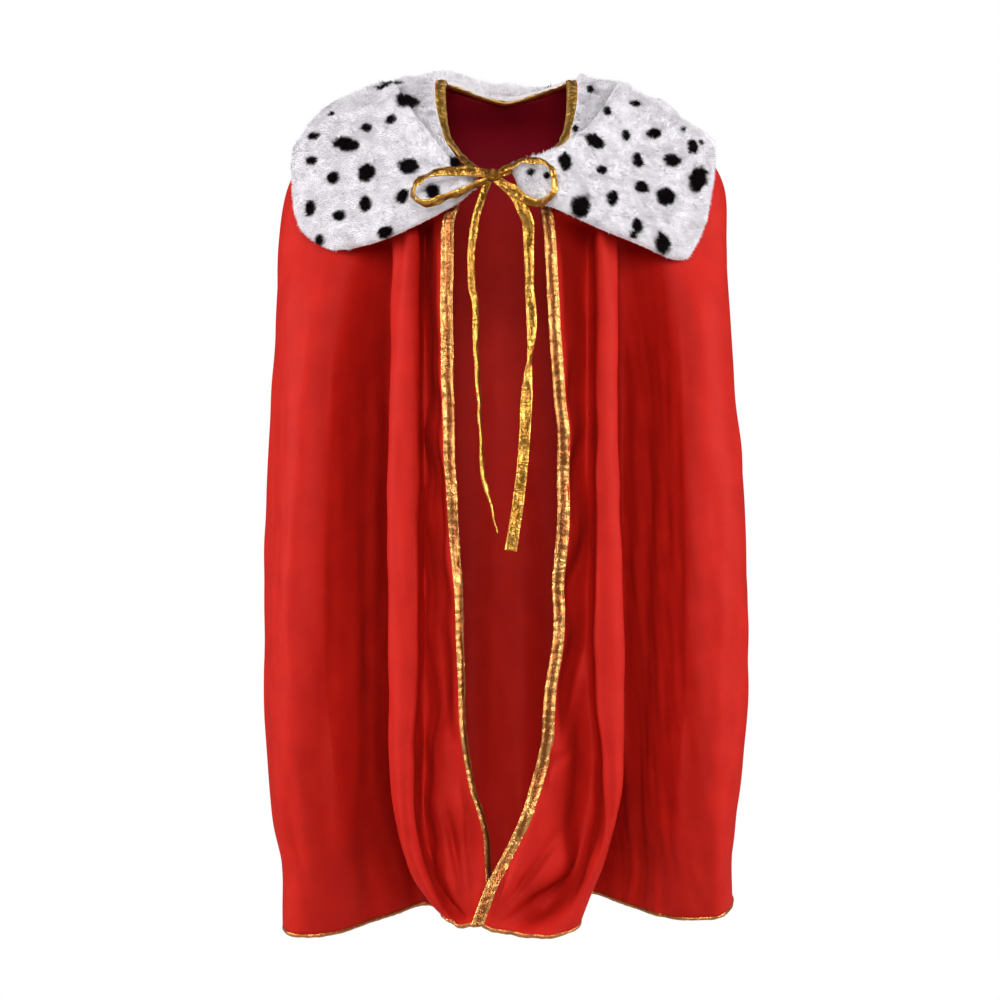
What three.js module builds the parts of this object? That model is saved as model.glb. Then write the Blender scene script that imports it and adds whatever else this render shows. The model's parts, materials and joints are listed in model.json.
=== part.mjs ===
// A child's royal robe: a red cloth cape that hangs from the shoulders, with a wide plush
// collar, gold binding round its edges, and gold ribbons tied in a bow at the throat.
// Millimetres, +Z up, the open front towards -Y, origin in the middle of the neck opening.
import * as THREE from 'three';

// Overall sizes of the robe as it hangs. Changing one stretches every piece along that axis.
const WIDTH = 470; // across the widest fold, at hip height
const DEPTH = 266; // cloth only, front edge to back
const LENGTH = 750; // neck opening down to the hem
const NECK_WIDTH = 136; // across the neck opening, binding included

// Thicknesses and widths of what it is sewn from.
const CLOTH = 2;
const PLUSH = 10;
const LINING = 1.4;
const BINDING = 3.4; // folded gold binding, through its thickness
const FRONT_BINDING_WIDTH = 11;
const NECK_BINDING_WIDTH = 10;
const HEM_BINDING_HEIGHT = 8;
const RIBBON = 4.6; // tie ribbon, as a round cord of the same room
const KNOT_SIZE = [19, 12, 12];

// Clearances.
const GAP = 0.4; // between pieces that are sewn together
const FOLD_GAP = 2; // from a fold line that bends to the cloth on each side of it
const POINT_GAP = 0.5; // from a collar point's fold line to the plush on each side of it
const COLLAR_REST = 0.4; // between plush and lining

// The sizes that the points below are drawn at.
const DRAWN = { width: 470, depth: 266, length: 750, neck: 136 };

// Slanted fold lines that the front flaps turn on, as [out from the middle, y, z].
const FOLD_TOP = [68, -111, -92];
const FOLD_BOTTOM = [160, -62, -750];

// Fold lines of the collar points: outer end and inner end, as [out, y, z].
const POINT_LINE = {
  left: { outer: [202, -50, -40], inner: [60, -130, -84] },
  right: { outer: [202, -50, -38], inner: [58, -130, -84] },
};
const POINT_TILT = 0.2; // how far a collar point leans forward for each mm that it hangs down

const COLOURS = { red: 0xc8241d, gold: 0xc99a3c, plush: 0xece7ea, lining: 0xa51c1a };
const RED = new THREE.MeshStandardMaterial({ color: COLOURS.red, roughness: 0.75, metalness: 0 });
const GOLD = new THREE.MeshStandardMaterial({ color: COLOURS.gold, roughness: 0.35, metalness: 0.9 });
const FUR = new THREE.MeshStandardMaterial({ color: COLOURS.plush, roughness: 0.95, metalness: 0 });
const LINED = new THREE.MeshStandardMaterial({ color: COLOURS.lining, roughness: 0.8, metalness: 0 });

const robe = new THREE.Group();

// ---- shaping helpers -------------------------------------------------------------------

/** A point of the hanging robe, stretched to the overall sizes. */
function at(x, y, z) {
  const drop = z < 0 ? (z * LENGTH) / DRAWN.length : z;
  return new THREE.Vector3((x * WIDTH) / DRAWN.width, (y * DEPTH) / DRAWN.depth, drop);
}

/** A point on the neck opening's own ring, which has its own width. */
function atNeck(x, y, z) {
  const point = at(0, y, z);
  point.x = (x * NECK_WIDTH) / DRAWN.neck;
  return point;
}

/** `steps` + 1 points along the smooth curve through `points`. */
function smooth(points, steps) {
  const curve = new THREE.CatmullRomCurve3(points, false, 'centripetal');
  return Array.from({ length: steps + 1 }, (_, i) => curve.getPoint(i / steps));
}

/** A smooth surface through a grid of control points, as rows of points. */
function surface(rows, across, down) {
  const columns = rows[0].map((_, j) => smooth(rows.map((row) => row[j]), down));
  return Array.from({ length: down + 1 }, (_, i) => smooth(columns.map((column) => column[i]), across));
}

/** The surface's normal at each of its points, turned to face away from `inside`. */
function normalsOf(grid, inside) {
  const last = grid.length - 1;
  return grid.map((row, i) =>
    row.map((point, j) => {
      const down = grid[Math.min(i + 1, last)][j].clone().sub(grid[Math.max(i - 1, 0)][j]);
      const along = row[Math.min(j + 1, row.length - 1)].clone().sub(row[Math.max(j - 1, 0)]);
      const normal = along.cross(down).normalize();
      return normal.dot(point.clone().sub(inside)) < 0 ? normal.negate() : normal;
    }),
  );
}

/** The closed solid between two layers of points, with a wall round its border. */
function solidBetween(lower, upper) {
  const rows = lower.length;
  const columns = lower[0].length;
  const positions = [...lower.flat(), ...upper.flat()].flatMap((point) => point.toArray());
  const low = (i, j) => i * columns + j;
  const high = (i, j) => rows * columns + low(i, j);
  const index = [];
  const quad = (a, b, c, d) => index.push(a, b, c, a, c, d);
  for (let i = 0; i < rows - 1; i += 1) {
    for (let j = 0; j < columns - 1; j += 1) {
      quad(high(i, j), high(i + 1, j), high(i + 1, j + 1), high(i, j + 1));
      quad(low(i, j), low(i, j + 1), low(i + 1, j + 1), low(i + 1, j));
    }
    quad(low(i, 0), low(i + 1, 0), high(i + 1, 0), high(i, 0));
    quad(high(i, columns - 1), high(i + 1, columns - 1), low(i + 1, columns - 1), low(i, columns - 1));
  }
  for (let j = 0; j < columns - 1; j += 1) {
    quad(low(0, j + 1), low(0, j), high(0, j), high(0, j + 1));
    quad(high(rows - 1, j + 1), high(rows - 1, j), low(rows - 1, j), low(rows - 1, j + 1));
  }
  return outward(positions, index);
}

/** A geometry from positions and triangles, turned so that its volume is positive. */
function outward(positions, index) {
  const corner = (k) => new THREE.Vector3().fromArray(positions, index[k] * 3);
  let volume = 0;
  for (let k = 0; k < index.length; k += 3) {
    volume += corner(k).dot(corner(k + 1).cross(corner(k + 2)));
  }
  const turned = volume < 0 ? [...index].reverse() : index;
  const geometry = new THREE.BufferGeometry();
  geometry.setAttribute('position', new THREE.Float32BufferAttribute(positions, 3));
  geometry.setIndex(turned);
  geometry.computeVertexNormals();
  return geometry;
}

/** A layer of the given surface, from `from` to `to` mm outside it. */
function layer(grid, normals, from, to) {
  const shifted = (distance) =>
    grid.map((row, i) => row.map((point, j) => point.clone().addScaledVector(normals[i][j], distance)));
  return solidBetween(shifted(from), shifted(to));
}

function add(name, geometry, material) {
  const mesh = new THREE.Mesh(geometry, material);
  mesh.name = name;
  robe.add(mesh);
}

const MIDDLE = at(0, 0, -100); // a point inside the hanging cloth

/** Normals with no share along y on the seam, so that neighbours meet on one flat wall. */
function flattenSeam(normals, columns) {
  for (const row of normals) {
    for (const j of columns) {
      row[j].setY(0).normalize();
    }
  }
}

/** A piece of cloth or binding round the surface of `rows`; `seams` are its columns on a side seam. */
function addCloth(name, rows, across, down, thickness, material, seams = []) {
  const grid = surface(rows, across, down);
  const normals = normalsOf(grid, MIDDLE);
  flattenSeam(normals, seams);
  add(name, layer(grid, normals, -thickness / 2, thickness / 2), material);
}

// ---- the cape's cloth ------------------------------------------------------------------

const HEM_TOP = -DRAWN.length + HEM_BINDING_HEIGHT; // where the cloth ends and its binding starts
const SEAM_Y = 5; // side seams run down at this y

/** The front flap's fold line at a height, moved sideways by `shift` along [x, y]. */
function foldPoint(side, z, shift) {
  const t = (z - FOLD_TOP[2]) / (FOLD_BOTTOM[2] - FOLD_TOP[2]);
  const out = THREE.MathUtils.lerp(FOLD_TOP[0], FOLD_BOTTOM[0], t);
  const y = THREE.MathUtils.lerp(FOLD_TOP[1], FOLD_BOTTOM[1], t);
  const point = at(side * out, y, z);
  point.x += side * shift[0];
  point.y += shift[1];
  return point;
}

/** Which way the cloth leaves the fold line: back along the side, and forward along the flap. */
const SIDE_OF_FOLD = [FOLD_GAP * 0.97, FOLD_GAP * 0.24];
const FLAP_OF_FOLD = [-FOLD_GAP * 0.75, -FOLD_GAP * 0.66];

/** Neck ring at the front half, from the side seam to the throat. */
const FRONT_NECK = [[67, 62, SEAM_Y], [68, 50, -20], [66, 28, -45], [62, 8, -66], [55, -10, -86], [44, -26, -102]];

/** Rows of [out, y] for a side panel below the shoulder, the fold line's point left out. */
const SIDE_ROWS = [
  [-92, [[222, SEAM_Y], [213, -24], [190, -47], [152, -67], [110, -86]]],
  [-160, [[224, SEAM_Y], [218, -28], [198, -55], [165, -74], [122, -86]]],
  [-300, [[231, SEAM_Y], [226, -35], [205, -66], [170, -83], [132, -87]]],
  [-500, [[235, SEAM_Y], [231, -40], [212, -72], [181, -84], [150, -80]]],
  [-640, [[226, SEAM_Y], [223, -38], [208, -66], [186, -75], [164, -71]]],
  [HEM_TOP, [[215, SEAM_Y], [213, -30], [203, -52], [189, -62], [174, -62]]],
];

function sidePanelRows(side) {
  const seam = SEAM_Y - GAP / 2;
  const onSeam = (y) => (y === SEAM_Y ? seam : y);
  const neck = FRONT_NECK.map(([out, z, y]) => atNeck(side * out, onSeam(y), z));
  const upper = [[125, seam, 42], [122, -18, 32], [112, -42, 12], [98, -64, -8], [80, -86, -24], [54, -104, -44]];
  const lower = [[186, seam, 8], [180, -20, -2], [162, -44, -18], [136, -64, -32], [104, -82, -46], [62, -106, -62]];
  const shoulder = [upper, lower].map((row) => row.map(([out, y, z]) => at(side * out, y, z)));
  const hanging = SIDE_ROWS.map(([z, row]) => [
    ...row.map(([out, y]) => at(side * out, onSeam(y), z)),
    foldPoint(side, z, SIDE_OF_FOLD),
  ]);
  return [neck, ...shoulder, ...hanging];
}

/** One half of a back row from the seam to the middle, mirrored to the whole row. */
function wholeRow(half, place) {
  const right = half.slice(0, -1).map(([out, y, z]) => place(out, y, z));
  const left = half.map(([out, y, z]) => place(-out, y, z));
  return [...left, ...right.reverse()];
}

function backPanelRows() {
  const seam = SEAM_Y + GAP / 2;
  const neck = [[67, seam, 62], [64, 30, 60], [48, 52, 57], [25, 62, 55], [0, 64, 54]];
  const shoulder = [
    [[125, seam, 42], [118, 50, 42], [88, 85, 40], [45, 98, 36], [0, 101, 34]],
    [[186, seam, 8], [172, 62, 6], [128, 104, 2], [65, 122, -2], [0, 126, -4]],
  ];
  const hanging = [
    [-92, [222, seam], [204, 70], [152, 112], [78, 128], [0, 132]],
    [-160, [224, seam], [206, 72], [155, 114], [80, 130], [0, 134]],
    [-300, [231, seam], [212, 74], [160, 116], [82, 130], [0, 134]],
    [-500, [235, seam], [216, 76], [164, 118], [84, 130], [0, 134]],
    [-640, [226, seam], [210, 74], [160, 114], [82, 128], [0, 132]],
    [HEM_TOP, [215, seam], [200, 70], [154, 110], [80, 126], [0, 130]],
  ];
  return [
    wholeRow(neck, atNeck),
    ...shoulder.map((row) => wholeRow(row, at)),
    ...hanging.map(([z, ...row]) => wholeRow(row.map(([out, y]) => [out, y, z]), at)),
  ];
}

const FLAP_ROW_STEPS = 13; // rows of a flap and of its front binding, which meet row by row
const FRONT = new THREE.Vector3(0, -1, 0);

/** Front edges: [z, how far out the binding's middle is, its y], from under the collar to the hem. */
const FRONT_EDGE = {
  left: [[-94, 53, -115], [-160, 54, -119], [-300, 50, -120], [-500, 36, -122], [-640, 22, -118], [HEM_TOP, 42, -114]],
  right: [[-94, 38, -115], [-160, 41, -119], [-300, 49, -120], [-500, 40, -122], [-640, 13, -128], [HEM_TOP, -26, -130]],
};

/** Rows of [out, y] between the fold line and the front edge of a flap. */
const FLAP_ROWS = {
  left: [
    [[65.5, -113], [63.5, -114], [61.5, -114.6]],
    [[74, -110], [68, -114], [64, -117]],
    [[90, -104], [80, -112], [68, -118]],
    [[114, -98], [96, -114], [70, -123]],
    [[126, -92], [104, -114], [68, -126]],
    [[136, -82], [112, -106], [78, -122]],
  ],
  right: [
    [[62, -113.5], [56, -114.4], [50, -115]],
    [[72, -110], [64, -115], [54, -118]],
    [[90, -104], [79, -112], [66, -118]],
    [[114, -98], [96, -114], [72, -123]],
    [[126, -92], [104, -116], [64, -128]],
    [[136, -84], [112, -112], [56, -131]],
  ],
};

function flapRows(name, side) {
  return FRONT_EDGE[name].map(([z, out, y], i) => {
    const edge = at(side * out, y, z);
    edge.x += side * (FRONT_BINDING_WIDTH / 2 + GAP);
    const between = FLAP_ROWS[name][i].map(([far, depth]) => at(side * far, depth, z));
    return [foldPoint(side, z, FLAP_OF_FOLD), ...between, edge];
  });
}

/** The binding down a front edge, a flat strip that ends level with the hem. */
function addFrontBinding(name, side) {
  const rows = FRONT_EDGE[name].map(([z, out, y]) =>
    [1, 0, -1].map((step) => {
      const point = at(side * out, y, z);
      point.x += (side * step * FRONT_BINDING_WIDTH) / 2;
      return point;
    }),
  );
  const grid = surface(rows, 2, FLAP_ROW_STEPS);
  const hem = at(0, 0, -DRAWN.length).z;
  grid.push(grid[grid.length - 1].map((point) => point.clone().setZ(hem)));
  const normals = grid.map((row) => row.map(() => FRONT.clone()));
  add(`${name}_front_binding`, layer(grid, normals, -BINDING / 2, BINDING / 2), GOLD);
}

/** A flap's cloth or its hem binding, with its front edge square to the front binding. */
function addFlapPiece(name, grid, thickness, material) {
  const normals = normalsOf(grid, MIDDLE);
  normals.forEach((row) => row[row.length - 1].copy(FRONT));
  add(name, layer(grid, normals, -thickness / 2, thickness / 2), material);
}

/** Rows for the narrow gold binding under the last row of a panel. */
function hemRows(rows) {
  const hem = rows[rows.length - 1];
  const bottom = at(0, 0, -DRAWN.length).z;
  return [hem.map((point) => point.clone().setZ(point.z - GAP)), hem.map((point) => point.clone().setZ(bottom))];
}

function addCape() {
  const back = backPanelRows();
  const backColumns = 20;
  const backSeams = [0, backColumns];
  addCloth('back_panel', back, backColumns, 13, CLOTH, RED, backSeams);
  addCloth('back_hem_binding', hemRows(back), backColumns, 1, BINDING, GOLD, backSeams);
  for (const [name, side] of [['left', -1], ['right', 1]]) {
    const panel = sidePanelRows(side);
    addCloth(`${name}_side_panel`, panel, 10, 15, CLOTH, RED, [0]);
    addCloth(`${name}_side_hem_binding`, hemRows(panel), 10, 1, BINDING, GOLD, [0]);
    const flap = flapRows(name, side);
    addFlapPiece(`${name}_front_flap`, surface(flap, 8, FLAP_ROW_STEPS), CLOTH, RED);
    addFlapPiece(`${name}_flap_hem_binding`, surface(hemRows(flap), 8, 1), BINDING, GOLD);
    addFrontBinding(name, side);
  }
}

// ---- the neck binding ------------------------------------------------------------------

const THROAT = { left: [38, -31, -108], right: [42, -27, -104] }; // where the neck binding ends

/** The gold band round the neck opening, from one side of the throat round the back to the other. */
function addNeckBinding() {
  const lift = CLOTH / 2 + BINDING / 2 + GAP;
  const frontHalf = (name, side) =>
    [...FRONT_NECK.slice(0, -1), THROAT[name]].map(([out, z, y]) => atNeck(side * out, y, z + lift));
  const back = [[64, 30, 60], [48, 52, 57], [25, 62, 55], [0, 64, 54]];
  const raised = wholeRow(back.map(([out, y, z]) => [out, y, z + lift]), atNeck);
  const outer = [...frontHalf('left', -1).reverse(), ...raised, ...frontHalf('right', 1)];
  const centre = atNeck(0, -15, 0);
  const inner = outer.map((point) => {
    const inwards = centre.clone().sub(point).setZ(0).normalize();
    return point.clone().addScaledVector(inwards, NECK_BINDING_WIDTH);
  });
  const grid = [smooth(outer, 34), smooth(inner, 34)];
  const up = grid.map((row) => row.map(() => new THREE.Vector3(0, 0, 1)));
  add('neck_binding', layer(grid, up, -BINDING / 2, BINDING / 2), GOLD);
}

// ---- the collar ------------------------------------------------------------------------

/** A collar point's plane: its fold line on the lining's side, and the way it faces. */
function pointPlane(name, side) {
  const outer = at(side * POINT_LINE[name].outer[0], ...POINT_LINE[name].outer.slice(1));
  const inner = at(side * POINT_LINE[name].inner[0], ...POINT_LINE[name].inner.slice(1));
  const hang = new THREE.Vector3(0, -POINT_TILT, -1);
  const facing = inner.clone().sub(outer).cross(hang).normalize();
  if (facing.y > 0) {
    facing.negate();
  }
  return { outer, inner, facing };
}

/** Front collar control rows, as [out, y, z] from the shoulder to the throat. */
const WING_ROWS = [
  [[71, SEAM_Y, 68], [73, -20, 56], [71, -45, 34], [67, -67, 14], [60, -88, -5], [47, -108, -28]],
  [[118, SEAM_Y, 64], [110, -30, 54], [98, -60, 36], [84, -86, 13], [66, -108, -12], [38, -126, -43]],
  [[165, SEAM_Y, 46], [160, -28, 34], [144, -56, 14], [120, -82, -8], [92, -106, -28], [33, -131, -58]],
];
const FIRST_ON_LINE = 2; // the wing's control columns from here on end on the point's fold line
const SHOULDER_EDGE = [[203, SEAM_Y, 5], [205, -28, -20]]; // outer edge before the fold line starts

function wingRows(name, side, plane) {
  const seam = SEAM_Y - GAP / 2;
  const onSeam = (y) => (y === SEAM_Y ? seam : y);
  const place = ([out, y, z]) => at(side * out, onSeam(y), z);
  const placeAtNeck = ([out, y, z]) => atNeck(side * out, onSeam(y), z);
  const [neck, ...below] = WING_ROWS;
  const columns = neck.length;
  const edge = SHOULDER_EDGE.map(place);
  for (let j = FIRST_ON_LINE; j < columns; j += 1) {
    const t = (j - FIRST_ON_LINE) / (columns - 1 - FIRST_ON_LINE);
    const point = plane.outer.clone().lerp(plane.inner, t);
    edge.push(point.setZ(point.z + POINT_GAP));
  }
  return [neck.map(placeAtNeck), ...below.map((row) => row.map(place)), edge];
}

function addLayers(name, grid, normals) {
  add(name, layer(grid, normals, COLLAR_REST, COLLAR_REST + PLUSH), FUR);
  add(`${name}_lining`, layer(grid, normals, -LINING, 0), LINED);
}

function addWing(name, side, plane) {
  const across = 10;
  const grid = surface(wingRows(name, side, plane), across, 6);
  const firstOnLine = Math.round((FIRST_ON_LINE / (WING_ROWS[0].length - 1)) * across);
  const edge = grid[grid.length - 1];
  for (let j = firstOnLine; j <= across; j += 1) {
    edge[j].lerpVectors(edge[firstOnLine], edge[across], (j - firstOnLine) / (across - firstOnLine));
  }
  const normals = normalsOf(grid, at(0, 0, -40));
  flattenSeam(normals, [0]);
  normals[normals.length - 1].slice(firstOnLine).forEach((normal) => normal.copy(plane.facing));
  addLayers(`collar_${name}`, grid, normals);
}

/** Lower outlines of the collar points, as [share along the fold line, out, z]. */
const POINT_OUTLINE = {
  left: [[0, 201, -58], [0.07, 193, -87], [0.2, 172, -105], [0.38, 146, -111], [0.58, 119, -103], [0.8, 90, -95], [1, 61.5, -89]],
  right: [[0, 198, -54], [0.07, 187, -84], [0.18, 174, -108], [0.34, 156, -118], [0.55, 128, -108], [0.78, 94, -97], [1, 60, -89]],
};

/** The part of a collar front that lifts: a flat plate hanging from its fold line. */
function addPoint(name, side, plane) {
  const { outer, inner, facing } = plane;
  const top = POINT_OUTLINE[name].map(([t]) => {
    const point = outer.clone().lerp(inner, t);
    return point.setZ(point.z - POINT_GAP);
  });
  const bottom = POINT_OUTLINE[name].map(([, out, z]) => {
    const point = at(side * out, 0, z);
    const offPlane = facing.x * (point.x - outer.x) + facing.z * (point.z - outer.z);
    return point.setY(outer.y - offPlane / facing.y);
  });
  const grid = surface([top, bottom], 9, 2);
  const normals = grid.map((row) => row.map(() => facing.clone()));
  addLayers(`collar_${name}_point`, grid, normals);
}

function addCollarBack() {
  const seam = SEAM_Y + GAP / 2;
  const neck = [[71, seam, 68], [68, 32, 66], [51, 56, 63], [27, 67, 61], [0, 69, 60]];
  const below = [
    [[118, seam, 64], [98, 46, 78], [68, 74, 84], [35, 86, 79], [0, 90, 77]],
    [[165, seam, 46], [150, 70, 46], [108, 112, 44], [56, 130, 40], [0, 135, 38]],
    [[203, seam, 5], [197, 80, -20], [146, 128, -45], [76, 146, -58], [0, 150, -62]],
  ];
  const rows = [wholeRow(neck, atNeck), ...below.map((row) => wholeRow(row, at))];
  const grid = surface(rows, 18, 7);
  const normals = normalsOf(grid, at(0, 0, -40));
  flattenSeam(normals, [0, grid[0].length - 1]);
  addLayers('collar_back', grid, normals);
}

function addCollar() {
  addCollarBack();
  for (const [name, side] of [['left', -1], ['right', 1]]) {
    const plane = pointPlane(name, side);
    addWing(name, side, plane);
    addPoint(name, side, plane);
  }
}

// ---- the tie ribbons -------------------------------------------------------------------

const KNOT = [-12.5, -141, -47.5];

/** Routes of the ribbons as they lie, all in mm: short runs to the knot, loops and hanging tails. */
const RIBBONS = {
  left_tie_lead: [9, [[-33, -113, -35], [-30.5, -122, -38], [-27, -131, -43], [-23, -138, -49.5]]],
  right_tie_lead: [9, [[35, -113, -27], [26, -122, -31.5], [10, -132, -41], [-2, -138, -49.5]]],
  left_tie_loop: [17, [[-23, -143, -44.5], [-34, -147, -44.8], [-50, -150, -45], [-67, -151, -47.5], [-79, -150, -53],
    [-85, -148, -62], [-81, -147.5, -70], [-72, -148, -72], [-60, -149, -70], [-47, -149, -65], [-35, -147, -59.5],
    [-23, -143.5, -52]]],
  right_tie_loop: [17, [[-2, -143.5, -43.5], [7, -147, -38], [18, -150, -34.5], [30, -151.5, -36.5], [40, -151, -43],
    [43.5, -151, -53], [43, -151, -64], [36, -150.5, -72], [26, -150, -73], [16, -149.5, -69], [6, -147.5, -61],
    [-2, -144, -52]]],
  left_tie_tail: [26, [[-17.5, -140, -54.5], [-24, -140, -64], [-28.5, -139.5, -84], [-31.5, -139, -112],
    [-31, -138, -142], [-28, -137.5, -180], [-26, -137, -240], [-22.5, -136.5, -300], [-15.5, -136, -344],
    [-7.5, -136, -370]]],
  right_tie_tail: [26, [[-6.5, -140, -54.5], [6, -140, -65], [15, -139.5, -80], [20, -139, -96], [20.5, -138.5, -140],
    [22.5, -138, -180], [19, -137.5, -235], [15.5, -137, -294], [11, -136.5, -335], [4, -136, -386]]],
};

function addRibbon(name, [steps, points]) {
  const path = new THREE.CatmullRomCurve3(points.map((point) => new THREE.Vector3(...point)), false, 'centripetal');
  const section = new THREE.Shape();
  const sides = 8;
  for (let k = 0; k < sides; k += 1) {
    const angle = ((k + 0.5) / sides) * 2 * Math.PI;
    const [x, y] = [Math.cos(angle), Math.sin(angle)].map((value) => (value * RIBBON) / 2);
    if (k === 0) {
      section.moveTo(x, y);
    } else {
      section.lineTo(x, y);
    }
  }
  section.closePath();
  add(name, new THREE.ExtrudeGeometry(section, { steps, extrudePath: path, curveSegments: 1 }), GOLD);
}

function addKnot() {
  const knot = new THREE.SphereGeometry(0.5, 12, 8);
  knot.scale(...KNOT_SIZE);
  knot.translate(...KNOT);
  add('bow_knot', knot, GOLD);
}

function addTies() {
  addKnot();
  for (const [name, route] of Object.entries(RIBBONS)) {
    addRibbon(name, route);
  }
}

addCape();
addNeckBinding();
addCollar();
addTies();

export default robe;
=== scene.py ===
import json
import math

import bpy
import numpy as np
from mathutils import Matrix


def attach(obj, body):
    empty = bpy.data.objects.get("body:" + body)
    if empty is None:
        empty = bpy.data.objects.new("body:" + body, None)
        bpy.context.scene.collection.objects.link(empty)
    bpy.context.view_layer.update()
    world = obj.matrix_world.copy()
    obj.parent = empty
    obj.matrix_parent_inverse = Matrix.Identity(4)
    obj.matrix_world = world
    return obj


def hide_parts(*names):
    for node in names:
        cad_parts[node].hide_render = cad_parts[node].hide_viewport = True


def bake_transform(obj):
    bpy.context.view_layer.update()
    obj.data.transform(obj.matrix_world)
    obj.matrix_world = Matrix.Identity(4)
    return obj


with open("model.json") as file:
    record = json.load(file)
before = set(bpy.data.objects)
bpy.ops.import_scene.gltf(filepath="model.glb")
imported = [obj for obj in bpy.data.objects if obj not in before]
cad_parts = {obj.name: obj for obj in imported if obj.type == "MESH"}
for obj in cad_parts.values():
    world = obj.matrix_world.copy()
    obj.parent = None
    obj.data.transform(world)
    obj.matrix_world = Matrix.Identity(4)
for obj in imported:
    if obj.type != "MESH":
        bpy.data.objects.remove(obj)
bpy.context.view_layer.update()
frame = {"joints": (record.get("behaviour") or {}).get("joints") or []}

MM = 0.001

# ---- small helpers -----------------------------------------------------------------------


def deselect():
    bpy.ops.object.select_all(action="DESELECT")


def only(obj):
    """Makes obj the only selected and the active object, as the operators need."""
    deselect()
    obj.select_set(True)
    bpy.context.view_layer.objects.active = obj


def linear(hex_colour):
    """An sRGB hex colour as the linear RGBA that shaders take."""
    parts = [int(hex_colour[i:i + 2], 16) / 255 for i in (0, 2, 4)]
    return [c / 12.92 if c <= 0.04045 else ((c + 0.055) / 1.055) ** 2.4 for c in parts] + [1]


def stations(points):
    """How far along each control point lies, as the mean chord over all the lines that cross it."""
    steps = np.linalg.norm(np.diff(points, axis=0), axis=-1)
    steps = steps.reshape(len(points) - 1, -1).mean(axis=1)
    return np.concatenate([[0], np.cumsum(steps)])


def smooth_line(points, count):
    """`count` points along the smooth curve, or curves, through the control points."""
    p = np.asarray(points, float)
    along = stations(p)
    t = np.interp(np.linspace(0, along[-1], count), along, np.arange(len(p)))
    i = np.minimum(t.astype(int), len(p) - 2)
    f = (t - i).reshape((-1,) + (1,) * (p.ndim - 1))
    padded = np.concatenate([[2 * p[0] - p[1]], p, [2 * p[-1] - p[-2]]])
    a, b, c, d = (padded[i + k] for k in range(4))
    return 0.5 * (2 * b + (c - a) * f + (2 * a - 5 * b + 4 * c - d) * f**2 + (3 * b - a - 3 * c + d) * f**3)


def smooth_surface(rows, across, down):
    """A smooth grid of points through rows of control points."""
    columns = smooth_line(rows, down)
    return smooth_line(columns.swapaxes(0, 1), across).swapaxes(0, 1)


def grid_normals(grid, outwards):
    """Unit normals of a grid, on the side that `outwards` (a vector at each point) faces on the whole."""
    down = np.gradient(grid, axis=0)
    along = np.gradient(grid, axis=1)
    n = np.cross(along, down)
    n /= np.maximum(np.linalg.norm(n, axis=-1, keepdims=True), 1e-12)
    return n if (n * outwards).sum() > 0 else -n


def ripples(points, seed, size, count=24):
    """A smooth random height from about -1 to 1 at each point, with humps of about `size`."""
    random = np.random.default_rng(seed)
    waves = random.normal(size=(count, 3)) * (2.2 / np.asarray(size, float))
    phases = random.uniform(0, 2 * math.pi, count)
    return np.sin(points @ waves.T + phases).sum(axis=-1) / math.sqrt(count / 2)


def bump_at(values, centre, width):
    """A soft hump of height 1 round `centre`."""
    return np.exp(-(((values - centre) / width) ** 2))


def mesh_from(name, points, faces, material, smooth=True):
    mesh = bpy.data.meshes.new(name)
    mesh.from_pydata([tuple(p) for p in points], [], faces)
    mesh.materials.append(material)
    obj = bpy.data.objects.new(name, mesh)
    bpy.context.scene.collection.objects.link(obj)
    if smooth:
        mesh.polygons.foreach_set("use_smooth", [True] * len(mesh.polygons))
    return obj


def grid_faces(rows, columns, first=0, flip=False):
    i, j = np.meshgrid(np.arange(rows - 1), np.arange(columns - 1), indexing="ij")
    a = (first + i * columns + j).ravel()
    quads = np.stack([a, a + columns, a + columns + 1, a + 1], axis=1)
    return quads[:, ::-1] if flip else quads


def layered(name, low, high, material):
    """A closed piece between two layers of points, in metres, with a wall round its border.
    Its own UV map holds the distances across and along the layer, in metres."""
    rows, columns = low.shape[:2]
    size = rows * columns
    wall = np.concatenate([
        np.arange(columns),
        columns * np.arange(1, rows) + columns - 1,
        (rows - 1) * columns + np.arange(columns - 2, -1, -1),
        columns * np.arange(rows - 2, 0, -1),
    ])
    following = np.roll(wall, -1)
    sides = np.stack([wall, following, following + size, wall + size], axis=1)
    faces = np.concatenate([grid_faces(rows, columns), grid_faces(rows, columns, size, True), sides])
    points = np.concatenate([low.reshape(-1, 3), high.reshape(-1, 3)])
    if signed_volume(points, faces) < 0:
        faces = faces[:, ::-1]
    obj = mesh_from(name, points, faces.tolist(), material)
    across = np.linalg.norm(np.diff(low, axis=1), axis=-1).mean(axis=0)
    along = np.linalg.norm(np.diff(low, axis=0), axis=-1).mean(axis=1)
    u = np.tile(np.concatenate([[0], np.cumsum(across)]), (rows, 1)).ravel()
    v = np.tile(np.concatenate([[0], np.cumsum(along)])[:, None], (1, columns)).ravel()
    uv = np.stack([np.tile(u, 2), np.tile(v, 2)], axis=1)
    layer = obj.data.uv_layers.new(name="Cloth")
    corners = np.empty(len(obj.data.loops), int)
    obj.data.loops.foreach_get("vertex_index", corners)
    layer.data.foreach_set("uv", uv[corners].astype(np.float32).ravel())
    return obj


def signed_volume(points, faces):
    a, b, c, d = (points[faces[:, k]] for k in range(4))
    return (a * np.cross(b, c)).sum() + (a * np.cross(c, d)).sum()


def cloth_piece(name, grid, normals, thickness, material):
    half = normals * thickness / 2
    return layered(name, grid - half, grid + half, material)


def set_attribute(obj, name, values):
    attribute = obj.data.attributes.new(name, "FLOAT", "POINT")
    attribute.data.foreach_set("value", np.asarray(values, np.float32))


def paint_tape_middle_shade(obj, grid, across):
    """The edge attribute of a tape: 1 at its stitched edges, less along its middle, with ragged borders; the
    gold lame paints shade where it is low.
    """
    edge = np.clip(np.abs(across) * 2.1 - 0.3 + 0.35 * ripples(grid, 33, (5, 5, 14)), 0, 1)
    set_attribute(obj, "edge", np.tile(edge.ravel(), 2))


# ---- materials ---------------------------------------------------------------------------


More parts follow.
